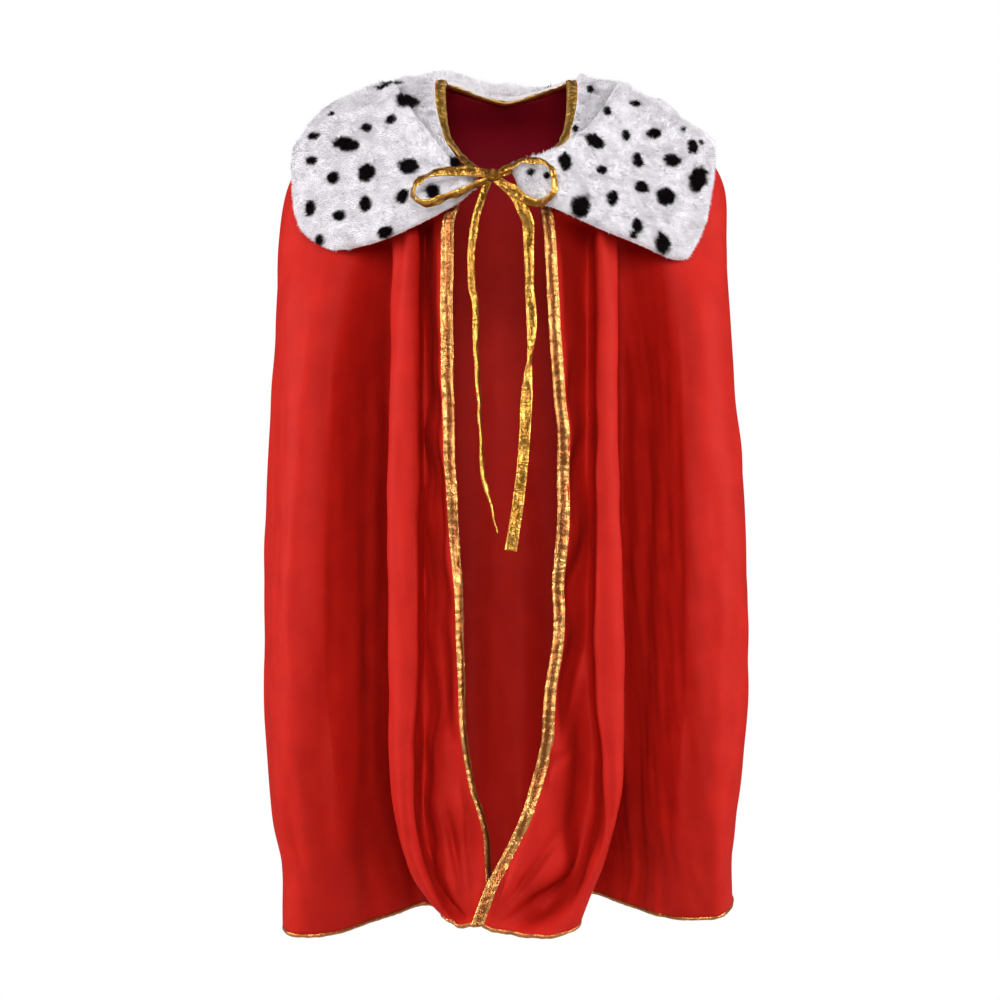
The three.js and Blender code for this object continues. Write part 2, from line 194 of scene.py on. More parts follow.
def add_node(tree, kind, settings=None, inputs=None, links=None):
    """A node of that kind with its settings, socket values and incoming links."""
    node = tree.nodes.new(kind)
    for key, value in (settings or {}).items():
        setattr(node, key, value)
    for key, value in (inputs or {}).items():
        node.inputs[key].default_value = value
    for key, socket in (links or {}).items():
        tree.links.new(socket, node.inputs[key])
    return node


def new_material(name, colour, **sockets):
    material = bpy.data.materials.new(name)
    material.use_nodes = True
    shader = material.node_tree.nodes["Principled BSDF"]
    shader.inputs["Base Color"].default_value = linear(colour)
    for key, value in sockets.items():
        shader.inputs[key.replace("_", " ")].default_value = value
    return material, material.node_tree, shader


def colours_between(tree, factor, stops):
    """A colour ramp over a factor, from (place, hex colour) stops."""
    ramp = add_node(tree, "ShaderNodeValToRGB", links={"Fac": factor})
    elements = ramp.color_ramp.elements
    while len(elements) < len(stops):
        elements.new(0.5)
    for element, (place, colour) in zip(elements, stops):
        element.position = place
        element.color = linear(colour)
    return ramp.outputs["Color"]


def polyester_satin(name, light, dark):
    """Polyester satin, woven and dyed: a smooth sheet with a soft, wide highlight and a faint
    sheen at grazing angles. Its threads are about 0.3 mm apart; 0.9 mm is the finest that shows."""
    material, tree, shader = new_material(name, light, Roughness=0.62, Sheen_Weight=0.03, Sheen_Roughness=0.4)
    shader.inputs["Specular IOR Level"].default_value = 0.12
    shader.inputs["Sheen Tint"].default_value = linear("FF5A40")
    place = add_node(tree, "ShaderNodeTexCoord")
    weft, warp = (
        add_node(
            tree, "ShaderNodeTexWave", {"wave_type": "BANDS", "bands_direction": direction},
            {"Scale": 350.0, "Distortion": 1.8, "Detail": 1.0}, {"Vector": place.outputs["Object"]},
        )
        for direction in "ZX"
    )
    threads = add_node(
        tree, "ShaderNodeMath", {"operation": "ADD"}, links={0: weft.outputs["Fac"], 1: warp.outputs["Fac"]},
    )
    blotches = add_node(
        tree, "ShaderNodeTexNoise", inputs={"Scale": 38.0, "Detail": 3.0},
        links={"Vector": place.outputs["Object"]},
    )
    tone = colours_between(tree, blotches.outputs["Fac"], [(0.3, dark), (0.7, light)])
    tree.links.new(tone, shader.inputs["Base Color"])
    bump = add_node(
        tree, "ShaderNodeBump", inputs={"Strength": 0.2, "Distance": 0.0003},
        links={"Height": threads.outputs["Value"]},
    )
    tree.links.new(bump.outputs["Normal"], shader.inputs["Normal"])
    return material


def paint_neck_shade(material, wine):
    """Paints shade into the colour as a dark wine red: an attribute on the piece says where and how strongly.
    """
    tree = material.node_tree
    shader = tree.nodes["Principled BSDF"]
    neck_shade = add_node(tree, "ShaderNodeAttribute", {"attribute_name": "neck_shade"})
    mix = add_node(
        tree, "ShaderNodeMix", {"data_type": "RGBA"},
        links={"Factor": neck_shade.outputs["Fac"], 6: shader.inputs["Base Color"].links[0].from_socket},
    )
    mix.inputs[7].default_value = linear(wine)
    tree.links.new(mix.outputs[2], shader.inputs["Base Color"])
    return material


def gold_lame(name, light, dark, roughness, middle=None):
    """Gold lame, a knit with flat metal yarn: mirror-like in crinkles, browner where it turns away.
    The yarns are about 0.4 mm apart; 1 mm is the finest that shows."""
    material, tree, shader = new_material(name, light, Roughness=roughness, Metallic=0.8)
    place = add_node(tree, "ShaderNodeTexCoord")
    crinkle = add_node(
        tree, "ShaderNodeTexNoise", inputs={"Scale": 170.0, "Detail": 4.0, "Roughness": 0.6},
        links={"Vector": place.outputs["Object"]},
    )
    tone = colours_between(tree, crinkle.outputs["Fac"], [(0.25, dark), (0.6, light)])
    tree.links.new(tone, shader.inputs["Base Color"])
    # Painted shade: the middle colour darkens each tape along its middle, where the edge attribute is low.
    if middle:
        edge = add_node(tree, "ShaderNodeAttribute", {"attribute_name": "edge"})
        folded = add_node(
            tree, "ShaderNodeMix", {"data_type": "RGBA"}, links={"Factor": edge.outputs["Fac"], 7: tone},
        )
        folded.inputs[6].default_value = linear(middle)
        tree.links.new(folded.outputs[2], shader.inputs["Base Color"])
    yarn = add_node(
        tree, "ShaderNodeTexNoise", inputs={"Scale": 620.0, "Detail": 2.0},
        links={"Vector": place.outputs["Object"]},
    )
    height = add_node(
        tree, "ShaderNodeMath", {"operation": "ADD"},
        links={0: crinkle.outputs["Fac"], 1: yarn.outputs["Fac"]},
    )
    bump = add_node(
        tree, "ShaderNodeBump", inputs={"Strength": 0.6, "Distance": 0.001},
        links={"Height": height.outputs["Value"]},
    )
    tree.links.new(bump.outputs["Normal"], shader.inputs["Normal"])
    return material


def plush(name, white, shade, spot):
    """Acrylic plush, a short dense pile: soft and matt with a pale sheen, dyed in dark spots.
    The spot attribute is 1 where it is dyed, and up to about a third where shadow is painted along the
    collar's fold."""
    material, tree, shader = new_material(name, white, Roughness=0.95, Sheen_Weight=0.02, Sheen_Roughness=0.6)
    shader.inputs["Specular IOR Level"].default_value = 0.04
    place = add_node(tree, "ShaderNodeTexCoord")
    tufts = add_node(
        tree, "ShaderNodeTexNoise", inputs={"Scale": 90.0, "Detail": 5.0, "Roughness": 0.65},
        links={"Vector": place.outputs["Object"]},
    )
    pile = colours_between(tree, tufts.outputs["Fac"], [(0.3, shade), (0.62, white)])
    # The spot attribute mixes in the spot colour: the dyed spots, and painted shadow along the collar's fold.
    dyed = add_node(tree, "ShaderNodeAttribute", {"attribute_name": "spot"})
    mix = add_node(
        tree, "ShaderNodeMix", {"data_type": "RGBA"}, links={"Factor": dyed.outputs["Fac"], 6: pile},
    )
    mix.inputs[7].default_value = linear(spot)
    tree.links.new(mix.outputs[2], shader.inputs["Base Color"])
    return material


RED_SATIN = polyester_satin("red polyester satin", "C82015", "BE1B13")
# The back's satin gets painted shade on its inner face, darkening towards the neck.
BACK_SATIN = paint_neck_shade(polyester_satin("red polyester satin of the back", "C82015", "BE1B13"), "760018")
LINING_SATIN = polyester_satin("red lining satin", "CC1C1A", "B81616")
# The middle colours are painted shade along the middles of the bindings and ribbons.
BINDING_GOLD = gold_lame("gold lame binding", "EEB268", "B87A3C", 0.25, middle="985628")
NECK_GOLD = gold_lame("gold lame neck binding", "F4C562", "CC9440", 0.3, middle="AC7C30")
HEM_GOLD = gold_lame("gold lame hem binding", "DB8E50", "B06A34", 0.32)
RIBBON_GOLD = gold_lame("gold lame ribbon", "E8AE52", "B07A28", 0.24, middle="94621E")
WHITE_PLUSH = plush("white spotted plush", "F7F5F8", "E2DDE2", "0A0103")
THREAD = new_material("gold sewing thread", "F0B868", Roughness=0.4, Metallic=0.4)[0]

# ---- camera ------------------------------------------------------------------------------


def add_camera():
    """Level with the robe's middle, 2.05 m in front of it, as a studio camera on a tripod."""
    bpy.ops.object.camera_add(location=(-0.006, -2.05, -0.34), rotation=(math.pi / 2, 0, 0))
    camera = bpy.context.object
    camera.data.lens = 76.1
    bpy.context.scene.camera = camera


add_camera()

# ---- tie ribbons and bow -----------------------------------------------------------------


RIBBON_THICK = 0.9 * MM


def ribbon(name, route, faces, widths, steps, material, crinkle=0.5):
    """A flat ribbon along a route in mm. `faces` are the ways its flat side looks along the route,
    and `widths` its widths, both spread evenly over the route. Returns it and its centreline."""
    line = smooth_line(route, steps)
    share = np.linspace(0, 1, steps)
    looks = np.asarray(faces, float)
    face = np.stack([np.interp(share, np.linspace(0, 1, len(looks)), looks[:, k]) for k in range(3)], axis=1)
    width = np.interp(share, np.linspace(0, 1, len(widths)), widths)
    tangent = np.gradient(line, axis=0)
    tangent /= np.linalg.norm(tangent, axis=1, keepdims=True)
    across = np.cross(tangent, face)
    across /= np.linalg.norm(across, axis=1, keepdims=True)
    face = np.cross(across, tangent)
    offsets = np.linspace(-0.5, 0.5, 9)
    grid = line[:, None] + across[:, None] * (width[:, None] * offsets)[..., None]
    cupped = 0.12 * width[:, None] * (1 - (2 * offsets) ** 2)
    wave = crinkle * ripples(grid, 11, 9) + 0.35 * crinkle * ripples(grid, 12, 3.5)
    grid = grid + face[:, None] * (cupped + wave)[..., None]
    normals = np.broadcast_to(face[:, None], grid.shape)
    obj = cloth_piece(name, grid * MM, normals, RIBBON_THICK, material)
    paint_tape_middle_shade(obj, grid, 2 * offsets)
    return obj, line * MM


LOOPS = {
    "left_tie_loop": (
        [(-15, -142, -46), (-34, -148, -44.5), (-50, -151, -45), (-67, -152, -47.5), (-79, -151, -53),
         (-85, -149, -62), (-81, -148, -70), (-72, -149, -72.5), (-60, -150, -70.5), (-47, -150, -65),
         (-35, -148, -59.5), (-15, -142.5, -50)],
        [(0, -1, 0.15), (0, -1, 0.2), (0, -0.9, 0.5), (-0.4, -0.6, 0.75), (-0.95, -0.2, 0.1),
         (-0.2, -0.5, -0.8), (0.1, -0.65, -0.8), (0.1, -0.7, -0.7), (0, -1, -0.3)],
        [7, 10, 10.5, 9.5, 8.5, 8.5, 8, 7, 6],
    ),
    "right_tie_loop": (
        [(-10, -142, -45.5), (5, -148, -38.5), (16, -151, -35), (28, -152.5, -36), (38, -152, -42),
         (43, -152, -52), (42.5, -152, -63), (36, -153, -71.5), (26, -153.5, -73), (16, -153.5, -69),
         (6, -151.5, -61), (-10, -143.5, -50)],
        [(0, -1, 0.2), (0, -0.75, 0.75), (0, -0.6, 0.8), (0.3, -0.6, 0.75), (0.85, -0.6, 0),
         (0.7, -0.7, -0.4), (0.1, -0.75, -0.75), (0, -0.8, -0.7), (0, -1, -0.1)],
        [6, 8.5, 9, 8.5, 8, 8, 8, 7.5, 6],
    ),
}

TAILS = {
    "left_tie_tail": (
        [(-15.5, -141, -49.5), (-21, -141, -64), (-27.5, -140.5, -84), (-31.5, -140, -112),
         (-31.3, -139.5, -142), (-28.3, -139, -168), (-26.7, -138.5, -219), (-24.4, -138, -264),
         (-20.8, -137.5, -316), (-14.8, -137, -345), (-7.5, -136.5, -370)],
        [(0.2, -1, 0), (0.6, -0.8, 0), (0.7, -0.7, 0), (0.8, -0.6, 0), (0.93, -0.35, 0), (0.95, -0.3, 0),
         (0.96, -0.26, 0), (0.97, -0.2, 0)],
        [6.5, 8.5, 8.5, 9, 9, 8, 7.5, 7],
    ),
    "right_tie_tail": (
        [(-10, -143, -49.5), (7, -147, -65), (14.5, -149, -79), (19.5, -147, -92), (20.3, -143, -118),
         (20.5, -140, -141), (22.3, -138.5, -168), (22.5, -138.5, -189), (20, -138, -219),
         (18, -137.5, -250), (15.5, -137, -294), (11.8, -136.5, -332), (3.8, -136, -386)],
        [(0.3, -1, 0), (-0.2, -1, 0), (0.35, -0.95, 0), (0.5, -0.9, 0), (0.2, -1, 0), (0.95, -0.5, 0),
         (0.1, -1, 0), (0, -1, 0), (0.1, -1, 0), (0, -1, 0), (0, -1, 0)],
        [8, 11, 10, 9, 10, 8, 10.5, 10, 10, 10.5, 11],
    ),
}

LEADS = {
    "left_tie_lead": ([(-42, -105, -25), (-35, -119, -33), (-27, -132, -40),
                       (-17, -142, -46)], [8, 8, 7, 6]),
    "right_tie_lead": ([(35, -113, -27), (26, -122, -31.5), (10, -133, -39),
                        (-4, -141, -46)], [8, 7.5, 7, 6]),
}
KNOT_AT = (-12.5, -142, -47.5)


def add_ties():
    """Each ribbon end: a lead to the knot, a loop out of it and back, and a hanging tail."""
    for name, (route, faces, widths) in LOOPS.items():
        loop, line = ribbon(name + "_ribbon", route, faces, widths, 150, RIBBON_GOLD, 0.8)
        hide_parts(name)
        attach(loop, "robe")
    for name, (route, faces, widths) in TAILS.items():
        tail, line = ribbon(name + "_ribbon", route, faces, widths, 420, RIBBON_GOLD, 0.4)
        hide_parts(name)
        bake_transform(tail)
    for name, (route, widths) in LEADS.items():
        looks = [(0, -0.6, 0.8), (0, -0.8, 0.6), (0, -1, 0.3)]
        lead, line = ribbon(name + "_ribbon", route, looks, widths, 40, RIBBON_GOLD, 0.3)
        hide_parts(name)
        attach(lead, "robe")
    add_knot()


def add_knot():
    """The knot: ribbon gathered into a soft, folded lump, pinched in at two places."""
    bpy.ops.mesh.primitive_uv_sphere_add(segments=48, ring_count=32, radius=1, location=(0, 0, 0))
    lump = bpy.context.object
    lump.name = "knot_ribbon"
    co = np.array([v.co for v in lump.data.vertices])
    folds = 1 + 0.10 * np.sin(co[:, 0] * 3 + 9 * co[:, 2]) + 0.06 * np.sin(14 * co[:, 2] + 4 * co[:, 0])
    waist = 1 - 0.16 * bump_at(co[:, 0], 0.45, 0.18) - 0.12 * bump_at(co[:, 0], -0.5, 0.2)
    co[:, 1:] *= (folds * waist)[:, None]
    co = (co * (10.0, 5.5, 6.0) + KNOT_AT) * MM
    lump.data.vertices.foreach_set("co", co.ravel())
    lump.data.materials.append(RIBBON_GOLD)
    only(lump)
    bpy.ops.object.shade_smooth()
    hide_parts("bow_knot")
    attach(lump, "robe")


add_ties()

# ---- the cape's cloth --------------------------------------------------------------------

CLOTH_THICK = 0.8 * MM
SEAM_Y = 5

# Heights of the hanging rows; the last row is the hem, which carries its own heights.
ROW_HEIGHTS = [-92, -160, -230, -300, -400, -500, -580, -640, -690]

# Each row runs from the side seam round the outer fold, into the deep valley behind the front
# fold, out to the front fold's edge, over its crest, through the inner valley, to the front edge.
# Points are [out from the middle, y], and [out, y, z] on the hem.
CAPE_ROWS = {
    "left": [
        [(221, 5), (214, -22), (196, -42), (177, -56), (161, -65), (148, -68), (138, -66), (124, -54),
         (110, -44), (98, -58), (107, -82), (98, -92), (92, -102), (82, -97), (82, -70), (76, -52),
         (67, -90), (58.7, -114)],
        [(222, 5), (218, -32), (204, -60), (184, -75), (166, -78), (152, -75), (140, -62), (126, -41),
         (111, -24), (95, -44), (106, -80), (102, -98), (92, -108), (82, -103), (82, -76), (76, -58),
         (67, -93), (59.5, -118)],
        [(224, 5), (221, -35), (207, -67), (189, -84), (168, -82), (159, -77), (145, -53), (129, -24),
         (112, 0), (94, -29), (106, -84), (104, -104), (92, -113), (82, -108), (82, -81), (76, -63),
         (67, -95.5), (58.5, -119)],
        [(226, 5), (224, -38), (210, -73), (192, -91), (170, -90), (159, -80), (145, -54), (129, -22),
         (112, 6), (94, -25), (107, -88), (105, -108), (92, -116), (82, -111), (82, -84), (76, -66),
         (66.3, -97), (56.3, -120)],
        [(229.5, 5), (228, -42), (213, -80), (194, -97), (170, -94), (159, -80), (145, -54), (129, -22),
         (112, 8), (94, -24), (107, -90), (106, -110), (92, -118), (82, -113), (82, -86), (76, -68),
         (60, -98), (50, -121)],
        [(230, 5), (229, -44), (214, -82), (194, -98), (169, -92), (159, -80), (145, -54), (129, -22),
         (112, 8), (94, -24), (107, -90), (106, -111), (92, -119), (82, -114), (82, -87), (76, -69),
         (53, -98.5), (43, -122)],
        [(228, 5), (227, -44), (213, -79), (193, -92), (169, -84), (159, -80), (145, -54), (129, -22),
         (112, 14), (94, -20), (106, -88), (105, -111), (95, -122), (88, -117), (82, -92), (76, -72),
         (60, -102), (37, -119)],
        [(222, 5), (222, -42), (209, -72), (190, -82), (168, -74), (156, -66), (141, -38), (124, -2),
         (105, 32), (86, -8), (99, -86), (97, -110), (92, -121), (86, -116), (84, -94), (76, -76),
         (57, -107), (22, -115)],
        [(215, 5), (213, -38), (202, -65), (186, -73), (167, -66), (150, -44), (132, -4), (112, 36),
         (92, 60), (76, 12), (81, -84), (82, -106), (77, -118), (72, -114), (69, -96), (62, -84),
         (50, -110), (18, -114)],
        [(213, 5, -744), (212, -34, -747), (202, -58, -750), (186, -62, -750), (165, -56, -749),
         (148, -40, -747), (128, -14, -745), (105, 24, -744), (84, 54, -742), (64, 30, -739),
         (58, -84, -718), (58, -104, -720), (54, -114, -725), (48, -120, -728), (41, -121, -730),
         (34, -118, -730), (26, -116, -729), (14, -114, -727)],
    ],
    "right": [
        [(214, 5), (207, -22), (190, -40), (173, -55), (159, -65), (149, -68), (140, -66), (128, -54),
         (112, -44), (97, -58), (105, -83), (97, -93), (89, -103), (83, -97), (83, -70), (75, -50),
         (52.5, -87), (43.5, -114)],
        [(215, 5), (212, -32), (199, -60), (181, -75), (165, -78), (154, -75), (143, -62), (129, -41),
         (113, -24), (96, -44), (104, -82), (101, -100), (89, -109), (83, -103), (83, -76), (75, -56),
         (56, -90), (47, -118)],
        [(219, 5), (216, -35), (202, -67), (186, -82), (168, -82), (160, -77), (146, -53), (130, -24),
         (113, 0), (95, -29), (103, -86), (102, -105), (89, -114), (83, -108), (83, -81), (75, -61),
         (60, -92.5), (51, -119)],
        [(225, 5), (222, -38), (208, -72), (190, -89), (170, -89), (160, -80), (146, -54), (130, -22),
         (113, 6), (95, -25), (103, -90), (102, -109), (89, -117), (83, -111), (83, -84), (75, -64),
         (61, -94), (54.5, -120)],
        [(228.5, 5), (226, -42), (212, -79), (194, -95), (171, -93), (160, -80), (146, -54), (130, -22),
         (113, 8), (95, -24), (103, -91), (103, -112), (89, -119), (83, -113), (83, -86), (75, -66),
         (60.5, -95), (51.5, -120)],
        [(229, 5), (227, -44), (212, -81), (193, -96), (170, -91), (160, -80), (146, -54), (130, -22),
         (113, 8), (95, -24), (103, -91), (104, -113), (89, -120), (83, -114), (83, -87), (75, -67),
         (54, -95.5), (45, -122)],
        [(225, 5), (224, -44), (210, -78), (191, -91), (169, -83), (160, -80), (146, -54), (130, -22),
         (113, 8), (95, -24), (103, -90), (104, -114), (98, -123), (91, -117), (90, -90), (80, -70),
         (58, -106), (36, -125)],
        [(218, 5), (218, -42), (206, -71), (187, -81), (168, -74), (157, -66), (142, -38), (125, -2),
         (106, 32), (87, -8), (98, -90), (98, -112), (94, -122), (89, -115), (86, -92), (74, -74),
         (52, -112), (19, -129)],
        [(214, 5), (213, -38), (202, -64), (186, -71), (168, -64), (152, -44), (134, -4), (115, 36),
         (96, 60), (80, 12), (80, -86), (81, -108), (76, -122), (71, -114), (66, -96), (54, -84),
         (34, -118), (-8, -131)],
        [(220, 5, -726), (215, -25, -729), (204, -46, -732), (187, -54, -735), (167, -51, -735),
         (150, -36, -735), (130, -14, -734), (110, 22, -733), (90, 54, -731), (74, 30, -727),
         (69, -84, -722), (69, -106, -729), (60, -122, -733), (44, -130, -736), (24, -128, -736),
         (4, -126, -734), (-12, -131, -731), (-22, -130, -727)],
    ],
}

# The shoulder, from the seam to the throat, as [out, y, z]: at the neck, half way, and at the edge.
SHOULDER_ROWS = [
    [(67, 5, 62), (68, -20, 50), (66, -45, 28), (62, -66, 8), (55, -86, -10)],
    [(125, 5, 42), (122, -18, 32), (112, -42, 12), (98, -64, -8), (80, -86, -24)],
    [(184, 5, 4), (178, -20, -6), (160, -44, -22), (134, -64, -36), (104, -82, -48), (74, -100, -58)],
    [(211, 5, -34), (203, -22, -42), (184, -41, -54), (156, -56, -64), (120, -76, -70), (84, -96, -74)],
]
THROAT_ENDS = {
    "left": [(44, -102, -26), (50, -106, -44), (52, -109, -60), (55, -112, -76)],
    "right": [(44, -102, -26), (42, -106, -44), (40, -109, -60), (41, -112, -76)],
}

# Diagonal creases in the gathered front, as two ends [x, z], a depth and a half width, in mm.
CREASES = {
    "left": [((-30, -722), (-40, -560), 9, 5), ((-36, -722), (-58, -610), 9, 5),
             ((-42, -724), (-92, -640), 7, 6), ((-26, -690), (-30, -560), 6, 4),
             ((-46, -726), (-70, -690), 6, 5), ((-70, -410), (-62, -300), 4, 5),
             ((-50, -560), (-62, -440), 5, 5), ((-47, -400), (-62, -330), 4, 4)],
    "right": [((-18, -724), (36, -585), 10, 5), ((-12, -724), (52, -640), 9, 5),
              ((-6, -727), (74, -680), 8, 6), ((10, -730), (60, -706), 7, 5),
              ((34, -610), (44, -540), 6, 4), ((30, -590), (70, -560), 5, 6),
              ((50, -560), (74, -470), 6, 5), ((56, -420), (76, -360), 6, 5),
              ((50, -330), (74, -270), 6, 6), ((56, -250), (70, -180), 5, 5)],
}


def cape_control(name, side):
    columns = len(CAPE_ROWS[name][0])
    rows = []
    for row, end in zip(SHOULDER_ROWS, THROAT_ENDS[name]):
        rows.append(smooth_line([(side * out, y, z) for out, y, z in row + [end]], columns))
    for height, row in zip(ROW_HEIGHTS, CAPE_ROWS[name]):
        rows.append(np.array([(side * out, y, height) for out, y in row]))
    rows.append(np.array([(side * out, y, z) for out, y, z in CAPE_ROWS[name][-1]]))
    return np.array(rows)


def crease_depth(grid, creases):
    """How far the front layer is pressed in by its creases, in mm."""
    depth = np.zeros(grid.shape[:2])
    for start, end, deep, wide in creases:
        start, end = np.array(start, float), np.array(end, float)
        along = end - start
        offset = grid[..., [0, 2]] - start
        t = np.clip((offset @ along) / (along @ along), 0, 1)
        away = np.linalg.norm(offset - t[..., None] * along, axis=-1)
        depth += deep * np.sin(np.pi * np.clip(t * 0.9 + 0.1, 0, 1)) ** 0.7 * np.exp(-((away / wide) ** 2))
    return depth


def cape_grid(name, side, across=230, down=210):
    """One side of the cape, from its side seam to its front edge, as a grid in mm."""
    grid = smooth_surface(cape_control(name, side), across, down)
    normals = grid_normals(grid, grid * (1, 1, 0))
    share = np.linspace(0, 1, across)[None, :]
    drop = np.clip((-60 - grid[..., 2]) / 300, 0, 1)
    soft = 1.3 * ripples(grid * (1, 1, 0.16), 3, 34) + 0.5 * ripples(grid * (1, 1, 0.35), 4, 14)
    soft *= np.clip(share / 0.05, 0, 1)
    strip = np.clip((share - 0.82) / 0.12, 0, 1) * np.clip((1 - share) / 0.05, 0.25, 1)
    gathers = 3.6 * strip * ripples(grid * (0.5, 0.5, 1), 5, 40)
    grid = grid + normals * ((soft * (0.25 + 0.75 * drop) + gathers * drop))[..., None]
    front = np.clip((share - 0.6) / 0.06, 0, 1)
    grid[..., 1] += front * crease_depth(grid, CREASES[name])
    return grid


def back_control():
    """The back panel's control rows, from the left seam round the back to the right seam."""
    left = cape_control("left", -1)[:, 0]
    right = cape_control("right", 1)[:, 0]
    depths = [64, 94, 110, 122, 131, 136, 137, 138, 140, 141, 140, 138, 136, 134]
    fullness = [0.72, 0.85, 0.93, 0.92, 0.9, 0.9, 0.9, 0.9, 0.9, 0.9, 0.9, 0.9, 0.9, 0.9]
    middle = [54, 34, 2, -40, -92, -160, -230, -300, -400, -500, -580, -640, -690, -745]
    angles = np.linspace(0, math.pi, 25)
    rows = []
    for k, (a, b) in enumerate(zip(left, right)):
        cos, sin = np.cos(angles), np.sin(angles)
        squareness = fullness[k]
        x = np.sign(cos) * np.abs(cos) ** squareness
        y = np.abs(sin) ** squareness
        reach = np.where(x > 0, -a[0], b[0])
        z = np.where(x > 0, a[2], b[2]) * (1 - sin) + middle[k] * sin
        z = z + (8 if k == 0 else 0) * np.abs(np.sin(2 * angles))
        rows.append(np.stack([-x * reach, SEAM_Y + (depths[k] - SEAM_Y) * y, z], axis=1))
    return np.array(rows)


def back_grid(across=260, down=200):
    """The back panel as it hangs, with soft pleats that open towards the hem."""
    grid = smooth_surface(back_control(), across, down)
    normals = grid_normals(grid, grid * (1, 1, 0))
    share = np.linspace(0, 1, across)[None, :]
    fade = np.sin(np.pi * share) ** 0.6
    drop = np.clip((-70 - grid[..., 2]) / 520, 0, 1)
    pleats = np.sin(2 * np.pi * (6.5 * share + 0.12 * np.sin(9 * share))) * (2 + 9 * drop)
    pleats = pleats + 0.35 * np.sin(2 * np.pi * 15 * share + 1.1) * (1 + 3 * drop)
    soft = 1.1 * ripples(grid * (1, 1, 0.16), 7, 40) + 0.5 * ripples(grid * (1, 1, 0.35), 8, 15)
    move = (pleats * drop**0.5 + soft * (0.3 + 0.7 * drop)) * fade
    return grid + normals * move[..., None]


def add_hem(name, grid, normals, node_names):
    """The narrow folded binding round the bottom edge of a panel, lightly puckered."""
    edge = grid[-1]
    out = normals[-1]
    angles = np.linspace(0, 2 * math.pi, 13)[:-1]
    height, thick = 1.9, 1.0
    pucker = 1 + 0.08 * ripples(edge, 21, 4)
    rings = []
    for angle in angles:
        lift = np.array([0, 0, height * math.sin(angle)])
        rings.append(edge + lift * pucker[:, None] + out * (thick * math.cos(angle)) * pucker[:, None])
    rings = np.array(rings)
    count = len(edge)
    points = rings.reshape(-1, 3) * MM
    a = np.arange(len(angles))[:, None] * count + np.arange(count - 1)[None]
    b = np.roll(np.arange(len(angles)), -1)[:, None] * count + np.arange(count - 1)[None]
    faces = np.stack([a, a + 1, b + 1, b], axis=-1).reshape(-1, 4)
    first_cap = [k * count for k in range(len(angles))]
    last_cap = [k + count - 1 for k in first_cap[::-1]]
    obj = mesh_from(name, points, faces.tolist() + [first_cap, last_cap], HEM_GOLD)
    face_out(obj)
    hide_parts(*node_names)
    return obj


def face_out(obj):
    """Turns a closed piece's faces outwards."""
    only(obj)
    bpy.ops.object.mode_set(mode="EDIT")
    bpy.ops.mesh.select_all(action="SELECT")
    bpy.ops.mesh.normals_make_consistent(inside=False)
    bpy.ops.object.mode_set(mode="OBJECT")


# The fold line that a front flap or a collar point turns on, as a point on it and its axis.
FLAP_BEND = {}
for joint in frame["joints"]:
    FLAP_BEND[joint["name"]] = (np.array(joint["pos_m"]), np.array(joint["axis"]))


def bend_with_flap(obj, name, side):
    """Bakes obj's placement into its mesh. The flap's fold line and the way towards its edge are worked out
    but not used, so obj does not bend with the flap.
    """
    on_line, axis = FLAP_BEND[f"{name}_flap_open"]
    towards_edge = np.array([-side * 0.9, -0.43, 0])
    towards_edge -= axis * (towards_edge @ axis)
    towards_edge /= np.linalg.norm(towards_edge)
    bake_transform(obj)


FRONT_TAPE_WIDTH = 10.5
FRONT_TAPE_INSET = 4.6  # from the cloth's edge to the middle of the tape
STITCH_PITCH = 2.6

# How far each front binding is turned edge on, in degrees, at heights from the top to the hem.
BINDING_TURNS = {
    "left": ([-740, -640, -560, -460, -380, -260, -60], [60, 66, 64, 54, 42, 22, 0]),
    "right": ([-740, -640, -560, -460, -380, -260, -60], [0, 10, 20, 30, 12, 22, 24]),
}


def front_binding(name, side, cape):
    """The gold binding folded over a front edge, from under the collar to the hem."""
    edge = cape[:, -1]
    edge = edge[edge[:, 2] < -60]
    line = smooth_line(edge[::6], 620)
    offsets = np.linspace(-0.55, 0.55, 13)
    turn = np.radians(np.interp(line[:, 2], *BINDING_TURNS[name]))[:, None]
    inwards = np.concatenate([-side * np.cos(turn), np.sin(turn), 0 * turn], axis=1)
    facing = np.concatenate([-side * np.sin(turn), -np.cos(turn), 0 * turn], axis=1)[:, None]
    centre = line + inwards * FRONT_TAPE_INSET
    grid = centre[:, None] + (inwards * FRONT_TAPE_WIDTH)[:, None] * offsets[None, :, None]
    fat = 1.5 * np.sqrt(np.clip(1 - (offsets / 0.56) ** 2, 0.02, 1))[None, :]
    along = np.cumsum(np.concatenate([[0], np.linalg.norm(np.diff(line, axis=0), axis=1)]))[:, None]
    pucker = 0.35 * ripples(grid, 31, 6) + 0.3 * np.sin(along / 1.25 + 2.5 * ripples(grid, 32, 30))
    seams = 0.75 * (bump_at(offsets, -0.40, 0.05) + bump_at(offsets, 0.40, 0.05))[None, :]
    shift = pucker * (0.35 + np.abs(offsets[None, :])) - seams
    front = grid + facing * (fat + shift)[..., None]
    rear = grid - facing * fat[..., None]
    obj = layered(f"{name}_front_binding_tape", rear * MM, front * MM, BINDING_GOLD)
    paint_tape_middle_shade(obj, grid, offsets / 0.55)
    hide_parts(f"{name}_front_binding")
    threads = stitches(f"{name}_front_stitches", front[:, [2, 10]], STITCH_PITCH)
    for piece in (obj, threads):
        bend_with_flap(piece, name, side)


def stitches(name, lines, pitch):
    """Rows of short raised stitches along lines of points, each a small spindle of thread."""
    points, faces = [], []
    for line in np.swapaxes(lines, 0, 1):
        steps = np.linalg.norm(np.diff(line, axis=0), axis=1)
        along = np.concatenate([[0], np.cumsum(steps)])
        places = np.arange(pitch, along[-1] - pitch, pitch)
        for place in places:
            ends = [np.array([np.interp(place + d, along, line[:, k]) for k in range(3)])
                    for d in (-0.36 * pitch, 0.36 * pitch)]
            points_here, faces_here = spindle(*ends, 0.42)
            faces += [[i + len(points) for i in face] for face in faces_here]
            points += points_here
    return mesh_from(name, np.array(points) * MM, faces, THREAD)


